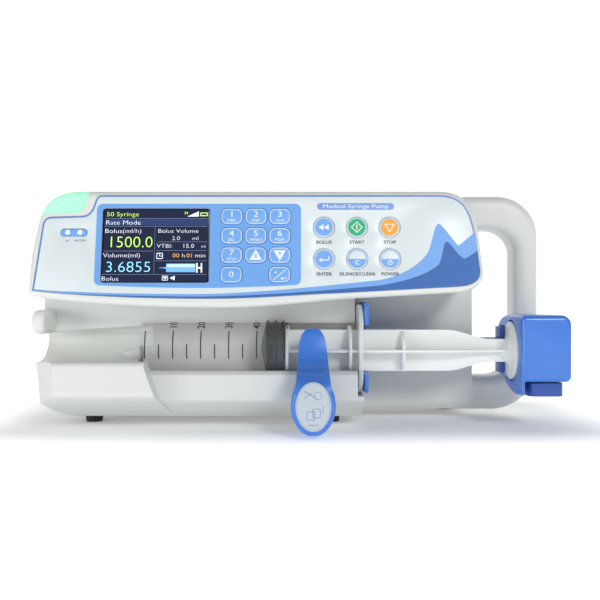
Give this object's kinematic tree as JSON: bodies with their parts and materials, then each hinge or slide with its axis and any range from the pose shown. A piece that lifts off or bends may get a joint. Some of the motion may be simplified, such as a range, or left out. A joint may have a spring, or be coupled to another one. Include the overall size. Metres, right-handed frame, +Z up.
{
  "type": "syringe infusion pump",
  "caption": "Bench syringe pump: tilted keypad console over a cradle with a loaded syringe, sliding pusher head, clamp lever, side carrying handle and rear pole clamp.",
  "frame": {"origin": "middle of the footprint on the plane of the feet", "axes": "+X along the syringe towards the pusher and handle, +Y towards the back, +Z up"},
  "size_m": [0.2736, 0.1794, 0.1255],
  "materials": {
    "shell_white": "moulded, fine texture",
    "overlay_white": "printed polyester film",
    "blue_plastic": "satin moulded",
    "deep_blue": "satin moulded",
    "key_blue": "embossed film keys",
    "lamp_green": "translucent lens",
    "screen_glass": "clear window over a dark screen",
    "screen_body": "display module",
    "syringe_clear": "clear polypropylene",
    "plunger_white": "translucent polypropylene",
    "rubber_black": "matt",
    "black_plastic": "moulded",
    "steel": "ground",
    "brass": "machined",
    "motor_grey": "cast and painted",
    "battery_wrap": "shrink wrap",
    "board_green": "circuit board",
    "bracket_grey": "powder coat"
  },
  "bodies": {
    "housing": {"front_casing": "shell_white", "console_shell": "shell_white", "rear_casing": "shell_white", "battery_cover": "shell_white", "face_overlay": "overlay_white", "flange_retainer": "blue_plastic", "status_led_bar": "blue_plastic", "alarm_lamp": "lamp_green", "screen_window": "screen_glass", "screen_module": "screen_body", "syringe_barrel": "syringe_clear", "rubber_foot_1": "rubber_black", "rubber_foot_2": "rubber_black", "rubber_foot_3": "rubber_black", "rubber_foot_4": "rubber_black", "mains_inlet": "black_plastic", "guide_rod": "steel", "drive_frame": "steel", "casing_screw_1": "steel", "casing_screw_2": "steel", "casing_screw_3": "steel", "casing_screw_4": "steel", "stepper_motor": "motor_grey", "battery_pack": "battery_wrap", "main_board": "board_green", "power_board": "board_green", "key_board": "board_green", "pole_bracket": "bracket_grey"},
    "pusher": {"pusher_tube": "deep_blue", "pusher_head": "blue_plastic", "drive_carriage": "motor_grey"},
    "plunger": {"plunger_rod": "plunger_white", "plunger_stopper": "rubber_black"},
    "claws": {"disc_claws": "deep_blue"},
    "release": {"release_lever": "deep_blue"},
    "nut": {"half_nut": "brass"},
    "screw": {"lead_screw": "steel", "screw_gear": "brass"},
    "pinion": {"motor_pinion": "brass"},
    "clamp_carrier": {"clamp_shaft": "steel"},
    "clamp_arm": {"clamp_lever": "blue_plastic"},
    "pole_jaw": {"pole_pad": "rubber_black"},
    "pole_knob": {"pole_screw": "black_plastic"},
    "key_1_body": {"key_1": "key_blue"},
    "key_2_body": {"key_2": "key_blue"},
    "key_3_body": {"key_3": "key_blue"},
    "key_4_body": {"key_4": "key_blue"},
    "key_5_body": {"key_5": "key_blue"},
    "key_6_body": {"key_6": "key_blue"},
    "key_7_body": {"key_7": "key_blue"},
    "key_8_up_body": {"key_8_up": "key_blue"},
    "key_9_down_body": {"key_9_down": "key_blue"},
    "key_0_body": {"key_0": "key_blue"},
    "key_decimal_back_body": {"key_decimal_back": "key_blue"},
    "bolus_key_body": {"bolus_key": "key_blue"},
    "start_key_body": {"start_key": "key_blue"},
    "stop_key_body": {"stop_key": "key_blue"},
    "enter_key_body": {"enter_key": "key_blue"},
    "silence_key_body": {"silence_key": "key_blue"},
    "power_key_body": {"power_key": "key_blue"}
  },
  "joints": [
    {"name": "pusher_slide", "type": "slide", "parent": "housing", "child": "pusher", "axis": [1, 0, 0], "range_m": [-0.056, 0.014]},
    {"name": "plunger_slide", "type": "slide", "parent": "housing", "child": "plunger", "axis": [1, 0, 0], "range_m": [-0.056, 0.014]},
    {"name": "screw_turn", "type": "hinge", "parent": "housing", "child": "screw", "pos_m": [0.001, 0.00775, 0.0405], "axis": [1, 0, 0], "range_deg": [-6730, 1690]},
    {"name": "pinion_turn", "type": "hinge", "parent": "housing", "child": "pinion", "pos_m": [0.001, 0.02725, 0.0405], "axis": [1, 0, 0], "range_deg": [-3380, 13460]},
    {"name": "release_press", "type": "slide", "parent": "pusher", "child": "release", "axis": [0, 0, 1], "range_m": [0, 0.004], "stiffness_N_per_m": 600, "springref_m": -0.001},
    {"name": "claw_swing", "type": "hinge", "parent": "pusher", "child": "claws", "pos_m": [0.119, -0.02625, 0.041], "axis": [0, 0, -1], "range_deg": [0, 35]},
    {"name": "nut_lift", "type": "slide", "parent": "pusher", "child": "nut", "axis": [0, -1, 0], "range_m": [0, 0.0024]},
    {"name": "clamp_pull", "type": "slide", "parent": "housing", "child": "clamp_carrier", "axis": [0, -1, 0], "range_m": [0, 0.016], "stiffness_N_per_m": 150, "springref_m": -0.006},
    {"name": "clamp_swing", "type": "hinge", "parent": "clamp_carrier", "child": "clamp_arm", "pos_m": [0.0073, -0.06325, 0.0162], "axis": [0, 1, 0], "range_deg": [-100, 0]},
    {"name": "pole_jaw_slide", "type": "slide", "parent": "housing", "child": "pole_jaw", "axis": [1, 0, 0], "range_m": [0, 0.02]},
    {"name": "pole_knob_turn", "type": "hinge", "parent": "pole_jaw", "child": "pole_knob", "pos_m": [0.001, 0.07175, 0.06], "axis": [1, 0, 0], "range_deg": [0, 3620]},
    {"name": "key_1_press", "type": "slide", "parent": "housing", "child": "key_1_body", "axis": [0, 0.9863, -0.165], "range_m": [0, 0.0005], "stiffness_N_per_m": 800, "springref_m": -0.0002},
    {"name": "key_2_press", "type": "slide", "parent": "housing", "child": "key_2_body", "axis": [0, 0.9863, -0.165], "range_m": [0, 0.0005], "stiffness_N_per_m": 800, "springref_m": -0.0002},
    {"name": "key_3_press", "type": "slide", "parent": "housing", "child": "key_3_body", "axis": [0, 0.9863, -0.165], "range_m": [0, 0.0005], "stiffness_N_per_m": 800, "springref_m": -0.0002},
    {"name": "key_4_press", "type": "slide", "parent": "housing", "child": "key_4_body", "axis": [0, 0.9863, -0.165], "range_m": [0, 0.0005], "stiffness_N_per_m": 800, "springref_m": -0.0002},
    {"name": "key_5_press", "type": "slide", "parent": "housing", "child": "key_5_body", "axis": [0, 0.9863, -0.165], "range_m": [0, 0.0005], "stiffness_N_per_m": 800, "springref_m": -0.0002},
    {"name": "key_6_press", "type": "slide", "parent": "housing", "child": "key_6_body", "axis": [0, 0.9863, -0.165], "range_m": [0, 0.0005], "stiffness_N_per_m": 800, "springref_m": -0.0002},
    {"name": "key_7_press", "type": "slide", "parent": "housing", "child": "key_7_body", "axis": [0, 0.9863, -0.165], "range_m": [0, 0.0005], "stiffness_N_per_m": 800, "springref_m": -0.0002},
    {"name": "key_8_up_press", "type": "slide", "parent": "housing", "child": "key_8_up_body", "axis": [0, 0.9863, -0.165], "range_m": [0, 0.0005], "stiffness_N_per_m": 800, "springref_m": -0.0002},
    {"name": "key_9_down_press", "type": "slide", "parent": "housing", "child": "key_9_down_body", "axis": [0, 0.9863, -0.165], "range_m": [0, 0.0005], "stiffness_N_per_m": 800, "springref_m": -0.0002},
    {"name": "key_0_press", "type": "slide", "parent": "housing", "child": "key_0_body", "axis": [0, 0.9863, -0.165], "range_m": [0, 0.0005], "stiffness_N_per_m": 800, "springref_m": -0.0002},
    {"name": "key_decimal_back_press", "type": "slide", "parent": "housing", "child": "key_decimal_back_body", "axis": [0, 0.9863, -0.165], "range_m": [0, 0.0005], "stiffness_N_per_m": 800, "springref_m": -0.0002},
    {"name": "bolus_key_press", "type": "slide", "parent": "housing", "child": "bolus_key_body", "axis": [0, 0.9863, -0.165], "range_m": [0, 0.0005], "stiffness_N_per_m": 800, "springref_m": -0.0002},
    {"name": "start_key_press", "type": "slide", "parent": "housing", "child": "start_key_body", "axis": [0, 0.9863, -0.165], "range_m": [0, 0.0005], "stiffness_N_per_m": 800, "springref_m": -0.0002},
    {"name": "stop_key_press", "type": "slide", "parent": "housing", "child": "stop_key_body", "axis": [0, 0.9863, -0.165], "range_m": [0, 0.0005], "stiffness_N_per_m": 800, "springref_m": -0.0002},
    {"name": "enter_key_press", "type": "slide", "parent": "housing", "child": "enter_key_body", "axis": [0, 0.9863, -0.165], "range_m": [0, 0.0005], "stiffness_N_per_m": 800, "springref_m": -0.0002},
    {"name": "silence_key_press", "type": "slide", "parent": "housing", "child": "silence_key_body", "axis": [0, 0.9863, -0.165], "range_m": [0, 0.0005], "stiffness_N_per_m": 800, "springref_m": -0.0002},
    {"name": "power_key_press", "type": "slide", "parent": "housing", "child": "power_key_body", "axis": [0, 0.9863, -0.165], "range_m": [0, 0.0005], "stiffness_N_per_m": 800, "springref_m": -0.0002}
  ],
  "couplings": [
    {"joint": "plunger_slide", "follows": "pusher_slide", "ratio": 1},
    {"joint": "screw_turn", "follows": "pusher_slide", "rad_per_m": 2094.4},
    {"joint": "pinion_turn", "follows": "pusher_slide", "rad_per_m": -4188.8},
    {"joint": "claw_swing", "follows": "release_press", "rad_per_m": 151.95},
    {"joint": "nut_lift", "follows": "release_press", "ratio": 0.6},
    {"joint": "pole_knob_turn", "follows": "pole_jaw_slide", "rad_per_m": 3141.6}
  ]
}
